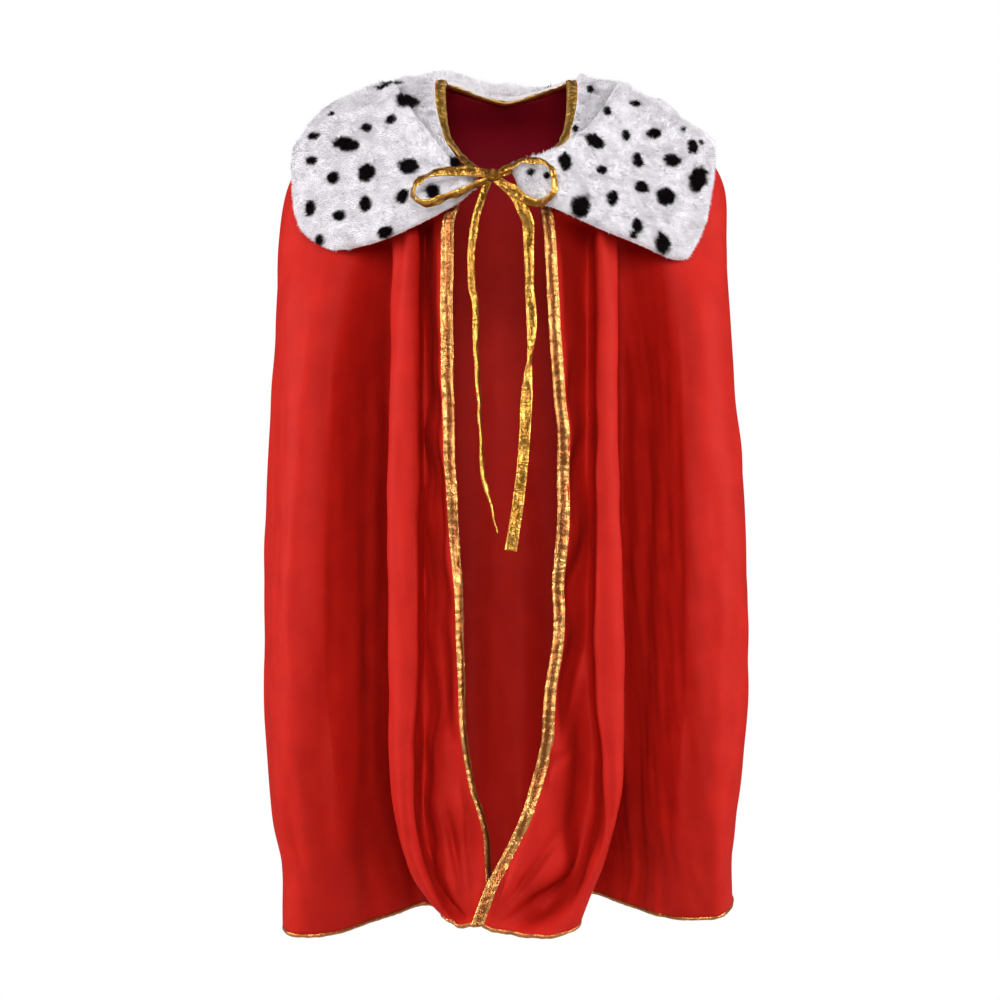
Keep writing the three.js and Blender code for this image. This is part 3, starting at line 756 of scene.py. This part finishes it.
def spindle(start, end, radius):
    """A pointed six-sided stick between two points."""
    along = (end - start) / np.linalg.norm(end - start)
    one = np.cross(along, (0, 1, 0.3))
    one /= np.linalg.norm(one)
    two = np.cross(along, one)
    middle = (start + end) / 2
    ring = [middle + radius * (math.cos(a) * one + math.sin(a) * two) for a in np.arange(6) * math.pi / 3]
    points = [start, end] + ring
    faces = []
    for k in range(6):
        a, b = 2 + k, 2 + (k + 1) % 6
        faces += [[0, b, a], [1, a, b]]
    return points, faces


def add_cape():
    for name, side in (("left", -1), ("right", 1)):
        grid = cape_grid(name, side)
        normals = grid_normals(grid, grid * (1, 1, 0))
        cloth = cloth_piece(f"{name}_cape_cloth", grid * MM, normals, CLOTH_THICK, RED_SATIN)
        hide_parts(f"{name}_side_panel", f"{name}_front_flap")
        hem_nodes = [f"{name}_side_hem_binding", f"{name}_flap_hem_binding"]
        hem = add_hem(f"{name}_hem_tape", grid, normals, hem_nodes)
        bend_with_flap(cloth, name, side)
        bend_with_flap(hem, name, side)
        front_binding(name, side, grid)
    grid = back_grid()
    normals = grid_normals(grid, grid * (1, 1, 0))
    cloth = cloth_piece("back_cape_cloth", grid * MM, normals, CLOTH_THICK, BACK_SATIN)
    # Painted shade: the inner face of the back darkens towards the neck, and the outer face not at all.
    neck_shade = 0.92 * np.clip((grid[..., 2].ravel() + 85) / 90, 0, 1) ** 1.2
    set_attribute(cloth, "neck_shade", np.concatenate([neck_shade, 0 * neck_shade]))
    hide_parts("back_panel")
    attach(cloth, "robe")
    hem = add_hem("back_hem_tape", grid, normals, ["back_hem_binding"])
    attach(hem, "robe")


add_cape()

# ---- the neck binding --------------------------------------------------------------------

NECK_TAPE_WIDTH = 10.0

# The neck ring, from the throat to the seam on each side and round the back, as [out, y, z].
NECK_FRONT = [(67, 5, 66), (68, -20, 53), (66, -45, 31), (62, -66, 11), (55, -86, -7)]
THROAT = {"left": (38, -108, -29), "right": (42, -104, -25)}
NECK_BACK = [(64, 30, 67), (48, 52, 66), (25, 62, 60), (0, 64, 55)]


def add_neck_binding():
    """The gold band folded over the neck opening's edge, puckered where it turns."""
    left = [(-THROAT["left"][0], *THROAT["left"][1:])] + [(-x, y, z) for x, y, z in NECK_FRONT[::-1]]
    back = [(-x, y, z) for x, y, z in NECK_BACK] + NECK_BACK[-2::-1]
    right = list(NECK_FRONT) + [THROAT["right"]]
    outer = smooth_line(left + back + right, 520)
    inwards = np.array([0, -15, 0]) - outer
    inwards[:, 2] = 0
    inwards /= np.linalg.norm(inwards, axis=1, keepdims=True)
    share = np.linspace(-0.25, 1, 15)
    grid = outer[:, None] + inwards[:, None] * (NECK_TAPE_WIDTH * share)[None, :, None]
    tangent = np.gradient(outer, axis=0)
    up = np.cross(inwards, tangent)
    up /= np.linalg.norm(up, axis=1, keepdims=True)
    up *= np.sign(up[:, 2:])
    fat = 1.7 * np.sqrt(np.clip(1 - ((share - 0.375) / 0.63) ** 2, 0.02, 1))[None, :]
    pucker = 0.4 * ripples(grid, 41, 6) + 0.2 * ripples(grid, 42, 2.5)
    top = grid + up[:, None] * (fat + pucker)[..., None]
    under = grid - up[:, None] * fat[..., None]
    obj = layered("neck_binding_tape", under * MM, top * MM, NECK_GOLD)
    paint_tape_middle_shade(obj, grid, np.linspace(-1, 1, 15))
    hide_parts("neck_binding")
    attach(obj, "robe")
    threads = stitches("neck_stitches", top[:, [2, 12]], STITCH_PITCH)
    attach(threads, "robe")


add_neck_binding()

# ---- the plush collar --------------------------------------------------------------------

PLUSH_THICK = 8.0
PLUSH_CURL = 7.0  # how wide the rounded rim of a free edge is
LINING_THICK = 0.8
PILE = 3.0  # how far the pile stands out of the plush's backing

# Rows of the front collar from the shoulder seam to the throat: along the neck binding, along
# the ridge where the collar turns down, and along its outer edge, as [out, y, z].
COLLAR_NECK = {
    "left": [(67, 5, 67), (68, -12, 61), (68, -28, 49), (67, -42, 36), (64, -58, 20), (60, -74, 5),
             (56, -88, -8), (47, -102, -23), (38, -114, -42)],
    "right": [(67, 5, 67), (68, -12, 61), (68, -28, 49), (67, -42, 36), (64, -58, 20), (60, -74, 5),
              (56, -89, -7), (40, -110, -22), (12, -128, -36)],
}
COLLAR_RIDGE = {
    "left": [(112, 5, 54), (108, -20, 48), (100, -40, 37), (91, -58, 23), (82, -75, 7), (70, -91, -10),
             (58, -105, -27), (46, -117, -44), (33, -126, -57)],
    "right": [(112, 5, 54), (107, -20, 48), (99, -40, 37), (90, -58, 23), (80, -75, 7), (68, -91, -9),
              (54, -106, -22), (34, -123, -34), (5, -136, -45)],
}
COLLAR_EDGE = {
    "left": [(200, 5, 0), (202, -24, -25), (200, -40, -58), (190, -54, -88), (160, -78, -107),
             (118, -104, -103), (78, -121, -88), (44, -131, -71), (27, -134, -57)],
    "right": [(198, 5, -4), (197, -24, -26), (191, -40, -62), (179, -56, -97), (160, -78, -117),
              (120, -103, -105), (80, -120, -91), (44, -132, -76), (12, -140, -67)],
}
BACK_NECK = [(67, 5, 67), (66, 33, 69), (49, 56, 68), (26, 67, 62), (0, 69, 57)]
BACK_RIDGE = [(-112, 5, 54), (-96, 44, 68), (-66, 72, 81), (-38, 84, 76), (0, 88, 67), (38, 84, 65),
              (66, 72, 66), (96, 44, 62), (112, 5, 54)]
BACK_EDGE = [(199, 5, -2), (193, 78, -22), (144, 124, -46), (76, 142, -58), (0, 146, -62)]


# How far each column bulges between its ridge and its edge, from the left shoulder seam on.
COLLAR_PUFF = {"left": [15, 15, 13, 9, 6, 4, 3, 3, 3], "right": [7, 7, 6, 5, 4, 3, 3, 3, 3]}
BACK_PUFF = [15, 12, 10, 8, 8, 8, 8, 7, 7]


def collar_rows(neck, ridge, edge, puff):
    """Control rows from the neck over the ridge to the outer edge, bulging by `puff` between."""
    neck, ridge, edge = (np.asarray(row, float) for row in (neck, ridge, edge))
    rows = [neck, 0.5 * (neck + ridge) + (0, 0, -3), ridge]
    puff = np.broadcast_to(puff, len(ridge))[:, None]
    away = ridge + edge + (0, 0, 250)
    away /= np.linalg.norm(away, axis=1, keepdims=True)
    for t in (0.3, 0.65):
        rows.append(ridge + t * (edge - ridge) + puff * math.sin(math.pi * t) * away)
    rows.append(edge)
    return np.array(rows)


def fold_over(rows, down, across):
    """How much of its thickness the plush has, in rows down and columns across: less on the
    standing strip at the neck, and full from the fold where the wing turns down over it. The
    second grid says how far the fold hangs over the strip, in mm, and the third how much shadow
    is painted on the strip along the fold, as a share of the spot colour."""
    along = stations(rows)
    past_fold = np.linspace(0, 1, down)[:, None] - along[2] / along[-1]
    between = np.linspace(0, 1, across)[None, :]
    from_seam = np.clip(between / 0.2, 0, 1) * np.clip((1 - between) / 0.12, 0, 1)
    step = np.clip((past_fold + 0.004) / 0.018, 0, 1)
    step = step * step * (3 - 2 * step)
    share = 1 - 0.72 * from_seam * (1 - step) + 0.65 * from_seam * bump_at(past_fold, 0.035, 0.035)
    overhang = 5.0 * from_seam * step * np.clip(1 - past_fold / 0.1, 0, 1)
    fold_shadow = 0.34 * from_seam * (past_fold < 0.004) * np.clip(1 + past_fold / 0.07, 0, 1)
    return share, overhang, fold_shadow


def plush_piece(name, grid, outside, free_ends, share=1.0, overhang=0.0):
    """A thick plush layer with rounded free edges, its outer side as a grid in mm, and the normals."""
    normals = grid_normals(grid, outside)
    steps = np.linalg.norm(np.gradient(grid, axis=0), axis=-1)
    from_top = np.cumsum(steps, axis=0)
    from_bottom = from_top[-1] - from_top
    rim = np.minimum(from_top, from_bottom)
    widths = np.linalg.norm(np.gradient(grid, axis=1), axis=-1)
    from_start = np.cumsum(widths, axis=1)
    from_end = from_start[:, -1:] - from_start
    if "start" in free_ends:
        rim = np.minimum(rim, from_start)
    if "end" in free_ends:
        rim = np.minimum(rim, from_end)
    round_off = np.sqrt(np.clip(1 - (1 - np.clip(rim / PLUSH_CURL, 0, 1)) ** 2, 0, 1))
    waves = 1.3 * ripples(grid, 51, 26) + 0.35 * ripples(grid, 52, 8)
    thick = (PLUSH_THICK + waves) * (0.18 + 0.82 * round_off) * share
    low = grid + normals * (0.4 + 0.12 * (1 - round_off) * PLUSH_THICK)[..., None]
    down = np.gradient(grid, axis=0)
    down /= np.linalg.norm(down, axis=-1, keepdims=True)
    overhang = np.broadcast_to(overhang, thick.shape)
    high = grid + normals * (0.4 + thick)[..., None] - down * overhang[..., None]
    obj = layered(name, low * MM, high * MM, WHITE_PLUSH)
    return obj, high, normals


# Dark spots on the collar's fronts, as [x, z, width, height, lean in degrees] in the front view.
SPOTS = {
    "left": [
        (-115, 57, 16, 7, 10), (-93, 37, 17, 17, 0), (-108, 17, 9, 9, 0),
        (-131, 12, 9, 8, 0), (-151, -4, 22, 12, -20), (-183, 7, 11, 7, 0),
        (-167, 29, 6, 4, 0), (-184, -18, 10, 8, 0), (-162, -37, 10, 11, 0),
        (-130, -36, 14, 14, 0), (-90, -32, 17, 13, -20), (-46, -32, 10, 12, 20),
        (-95, -62, 11, 11, 0), (-67, -59, 11, 13, 20), (-130, -66, 10, 13, 0),
        (-184, -65, 9, 13, 0), (-155, -75, 12, 9, 0), (-111, -95, 13, 9, 15),
        (-174, -97, 8, 9, 0), (-61, 58, 7, 9, 40), (-32, 51, 5, 4, 0),
    ],
    "right": [
        (80, 54, 6, 8, 0), (94, 24, 7, 9, 0), (65, 7, 6, 6, 0), (122, 37, 10, 6, 0),
        (81, -8, 16, 12, -25), (112, 2, 7, 9, 0), (139, 7, 13, 9, 20),
        (177, -3, 10, 12, -20), (53, -31, 10, 13, 0), (122, -22, 9, 13, 10),
        (156, -19, 14, 11, 0), (88, -36, 9, 8, 0), (181, -36, 14, 24, -25),
        (125, -49, 11, 10, 0), (149, -56, 17, 14, 15), (97, -63, 9, 13, 0),
        (67, -73, 15, 18, -15), (120, -88, 9, 12, 0), (116, -96, 6, 7, 0),
        (144, -102, 13, 18, 10), (21, -43, 6, 6, 0), (36, -46, 6, 6, 0),
        (168, 14, 5, 5, 0), (187, 4, 5, 5, 0),
    ],
}


def back_spots():
    """Spots spread over the collar's back as on its fronts, as [x, y, z, size]."""
    random = np.random.default_rng(62)
    spots = []
    while len(spots) < 44:
        angle = random.uniform(0.02, 0.98) * math.pi
        reach = random.uniform(0.12, 0.97)
        size = random.uniform(9, 17)
        spot = (angle, reach, size)
        if all(abs(angle - a) * 150 > 20 or abs(reach - r) * 130 > 24 for a, r, _ in spots):
            spots.append(spot)
    return spots


def soft_spot(across, down, ragged):
    """How dark one spot is at distances given in its own half sizes, fading over its border."""
    away = np.sqrt(across**2 + down**2) + ragged
    return np.clip((1.12 - away) / 0.22, 0, 1)


def front_dye(points, spots):
    """How dark each point is dyed, from 0 to 1, with soft ragged borders."""
    ragged = 0.07 * ripples(points, 61, 4.5)
    dark = np.zeros(len(points))
    for x, z, wide, high, lean in spots:
        dx, dz = points[:, 0] - x, points[:, 2] - z
        turn = math.radians(lean)
        across = (dx * math.cos(turn) + dz * math.sin(turn)) / (wide * 0.6)
        along = (dz * math.cos(turn) - dx * math.sin(turn)) / (high * 0.6)
        dark = np.maximum(dark, soft_spot(across, along, ragged))
    return dark


def back_dye(points, share_along, share_down, spots):
    ragged = 0.16 * ripples(points, 61, 4.5)
    dark = np.zeros(len(points))
    for angle, reach, size in spots:
        across = (share_along - angle / math.pi) * 470 / (size / 2)
        down = (share_down - reach) * 150 / (size / 2)
        dark = np.maximum(dark, soft_spot(across, down, ragged))
    return dark


def add_pile(name, surface, normals, dye, seed, per_mm2):
    """The pile itself: short leaning blades rooted all over a plush surface, in mm."""
    random = np.random.default_rng(seed)
    columns = surface.shape[1]
    corner = surface[:-1, :-1]
    cell = np.linalg.norm(np.cross(surface[1:, :-1] - corner, surface[:-1, 1:] - corner), axis=-1)
    chance = (cell / cell.sum()).ravel()
    count = int(cell.sum() * per_mm2)
    pick = random.choice(len(chance), count, p=chance)
    i, j = np.divmod(pick, columns - 1)
    a, b = random.uniform(size=(2, count, 1))

    def between(values):
        top = values[i, j] * (1 - b) + values[i, j + 1] * b
        low = values[i + 1, j] * (1 - b) + values[i + 1, j + 1] * b
        return top * (1 - a) + low * a

    root = between(surface)
    out = between(normals)
    out /= np.linalg.norm(out, axis=1, keepdims=True)
    comb = surface[i + 1, j] - surface[i, j]
    comb /= np.linalg.norm(comb, axis=1, keepdims=True)
    tuft = ripples(root, seed + 1, 9)[:, None]
    lean = comb * (0.75 + 0.35 * tuft) + random.normal(scale=0.35, size=(count, 3))
    length = PILE * random.uniform(0.7, 1.15, (count, 1))
    tip = root + (out * 0.75 + lean * 0.8) * length
    side = np.cross(out, lean)
    side /= np.maximum(np.linalg.norm(side, axis=1, keepdims=True), 1e-9)
    half = side * random.uniform(0.28, 0.5, (count, 1))
    root = root - out * 0.4
    points = np.stack([root - half, root + half, tip], axis=1).reshape(-1, 3)
    faces = np.arange(count * 3).reshape(-1, 3)
    obj = mesh_from(name, points * MM, faces.tolist(), WHITE_PLUSH)
    # The blades take the same dyed spots and painted fold shadow as the plush under them.
    set_attribute(obj, "spot", np.repeat(between(dye[..., None])[:, 0], 3))
    return obj


def bend_with_point(obj, name):
    """Bakes obj's placement into its mesh. The collar point's fold line and the way down it are worked out
    but not used, so obj does not bend with the point.
    """
    on_line, axis = FLAP_BEND[f"{name}_point_lift"]
    down = np.array([0, -0.2, -1.0])
    down -= axis * (down @ axis)
    down /= np.linalg.norm(down)
    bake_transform(obj)


def lining_piece(name, grid, normals):
    """The lining under a plush piece, a plain sheet that stops just short of its edges."""
    inner = grid[:-2, :]
    under = normals[:-2, :]
    return cloth_piece(name, (inner - under * LINING_THICK) * MM, under, LINING_THICK * MM, LINING_SATIN)


def add_collar_front(name, side):
    mirror = (side, 1, 1)
    rows = collar_rows(COLLAR_NECK[name], COLLAR_RIDGE[name], COLLAR_EDGE[name], COLLAR_PUFF[name]) * mirror
    grid = smooth_surface(rows, 150, 190)
    outside = grid - (0, 0, -60)
    share, overhang, fold_shadow = fold_over(rows, *grid.shape[:2])
    obj, high, normals = plush_piece(f"collar_{name}_plush", grid, outside, ["end"], share, overhang)
    # The spot attribute carries the dyed spots and the shadow painted along the fold.
    dye = np.maximum(front_dye(high.reshape(-1, 3), SPOTS[name]), fold_shadow.ravel())
    set_attribute(obj, "spot", np.tile(dye, 2))
    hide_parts(f"collar_{name}", f"collar_{name}_point")
    pile = add_pile(f"collar_{name}_pile", high, normals, dye.reshape(high.shape[:2]), 70 + side, 1.6)
    lining = lining_piece(f"collar_{name}_backing", grid, normals)
    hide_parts(f"collar_{name}_lining", f"collar_{name}_point_lining")
    for piece, slot in ((obj, "white_plush"), (pile, "white_plush"), (lining, "collar_lining")):
        bend_with_point(piece, name)


def mirrored(half):
    """A whole back row from its half, which runs from the seam to the middle."""
    return [(-x, y, z) for x, y, z in half] + list(half[-2::-1])


def add_collar_back():
    rows = collar_rows(mirrored(BACK_NECK), BACK_RIDGE, mirrored(BACK_EDGE), BACK_PUFF)
    grid = smooth_surface(rows, 280, 110)
    outside = grid - (0, 0, -60)
    obj, high, normals = plush_piece("collar_back_plush", grid, outside, [])
    shares = (np.linspace(0, 1, count) for count in grid.shape[:2])
    down, along = np.meshgrid(*shares, indexing="ij")
    dye = back_dye(high.reshape(-1, 3), along.ravel(), down.ravel(), back_spots())
    set_attribute(obj, "spot", np.tile(dye, 2))
    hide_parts("collar_back")
    pile = add_pile("collar_back_pile", high, normals, dye.reshape(high.shape[:2]), 80, 1.2)
    lining = lining_piece("collar_back_backing", grid, normals)
    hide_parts("collar_back_lining")
    for piece, slot in ((obj, "white_plush"), (pile, "white_plush"), (lining, "collar_lining")):
        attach(piece, "robe")


for side_name, side_sign in (("left", -1), ("right", 1)):
    add_collar_front(side_name, side_sign)
add_collar_back()

# ---- studio ------------------------------------------------------------------------------


def add_studio():
    """White paper under the robe, white all round it, and five large soft lights."""
    paper, tree, shader = new_material("white paper sweep", "A8A8A8", Roughness=0.9)
    bpy.ops.mesh.primitive_plane_add(size=30, location=(0, 0, -1.3))
    floor = bpy.context.object
    floor.name = "studio_floor"
    floor.data.materials.append(paper)
    light_to_camera(tree, shader)
    for name, place, power, size in LAMPS:
        bpy.ops.object.light_add(type="AREA", location=place)
        lamp = bpy.context.object
        lamp.name = name
        lamp.data.energy = power
        lamp.data.size = size
        x, y, z = np.array([0, 0, -0.35]) - place
        lamp.rotation_euler = (math.atan2(math.hypot(x, y), -z), 0, math.atan2(y, x) - math.pi / 2)
    world = bpy.data.worlds.new("studio white")
    world.use_nodes = True
    tree = world.node_tree
    sky = tree.nodes["Background"]
    sky.inputs["Color"].default_value = (1, 1, 1, 1)
    path = add_node(tree, "ShaderNodeLightPath")
    strength = add_node(
        tree, "ShaderNodeMapRange", inputs={"To Min": AMBIENT, "To Max": 1.0},
        links={"Value": path.outputs["Is Camera Ray"]},
    )
    tree.links.new(strength.outputs["Result"], sky.inputs["Strength"])
    bpy.context.scene.world = world
    bpy.context.scene.view_settings.view_transform = "Standard"


def light_to_camera(tree, shader):
    """The paper is plain white to the camera, and pale grey paper to every other ray."""
    glow = add_node(tree, "ShaderNodeEmission", inputs={"Strength": 1.0})
    path = add_node(tree, "ShaderNodeLightPath")
    mix = add_node(
        tree, "ShaderNodeMixShader",
        links={0: path.outputs["Is Camera Ray"], 1: shader.outputs["BSDF"], 2: glow.outputs["Emission"]},
    )
    tree.links.new(mix.outputs["Shader"], tree.nodes["Material Output"].inputs["Surface"])


# Each softbox: name, place in metres, watts, and width in metres.
LAMPS = [
    ("left_softbox", (-2.7, -0.5, 0.2), 58, 1.2),
    ("right_softbox", (2.7, -0.5, 0.2), 58, 1.2),
    ("front_softbox", (0, -3.1, 0.5), 60, 1.2),
    ("top_softbox", (0, -0.9, 2.2), 16, 1.2),
    ("back_softbox", (0, 3.1, 0.8), 46, 1.2),
]
AMBIENT = 0.08

add_studio()
